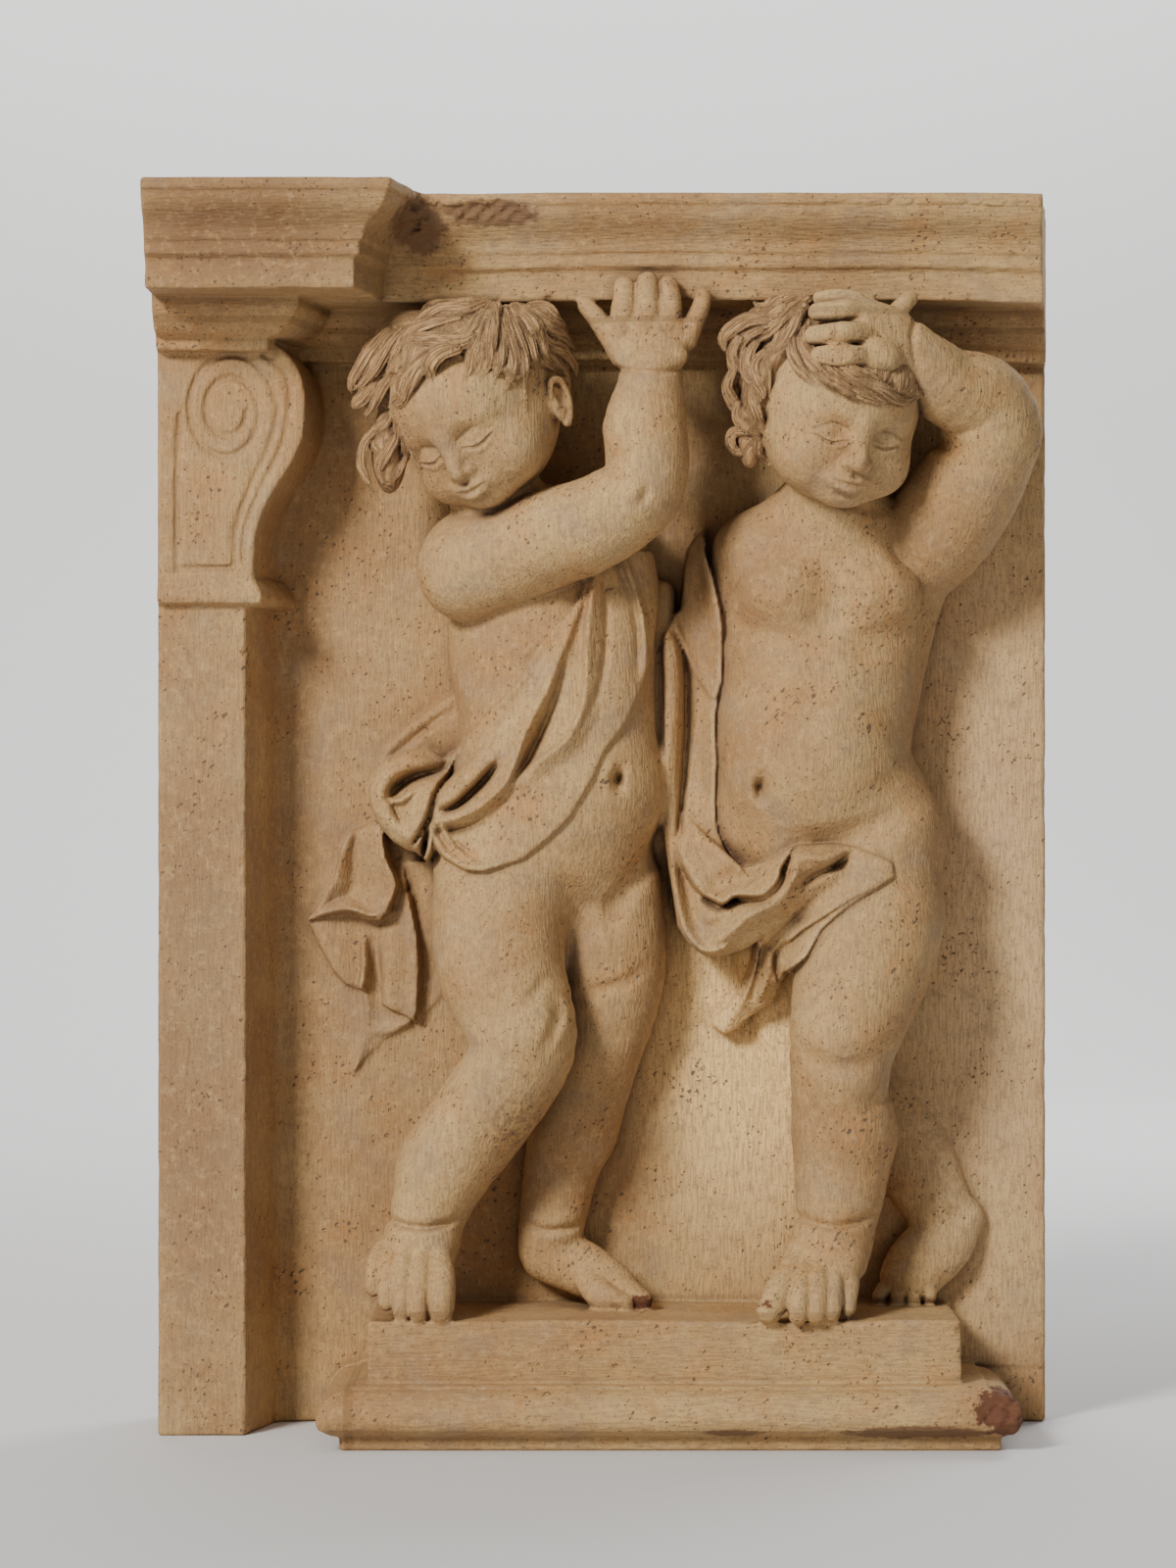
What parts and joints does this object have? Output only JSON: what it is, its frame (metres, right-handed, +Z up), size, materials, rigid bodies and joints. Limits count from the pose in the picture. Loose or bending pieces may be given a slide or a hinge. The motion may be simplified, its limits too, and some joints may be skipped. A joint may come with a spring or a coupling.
{
  "type": "terracotta caryatid relief",
  "caption": "Fired-clay high relief of putti who stand on a moulded plinth as caryatids, under an entablature that breaks forward over a scroll console and its pilaster.",
  "frame": {"origin": "middle of the bounding box's underside, level with the foot of the panel, pilaster and plinth", "axes": "+Z up, -Y out of the relief's front, +X to the viewer's right; the flat back faces +Y"},
  "size_m": [0.597, 0.195, 0.82],
  "materials": {
    "terracotta": "matte fired clay under a thin brushed ochre wash, with dark dust in its hollows"
  },
  "bodies": {
    "root": {"putti_relief": "terracotta"}
  },
  "joints": []
}
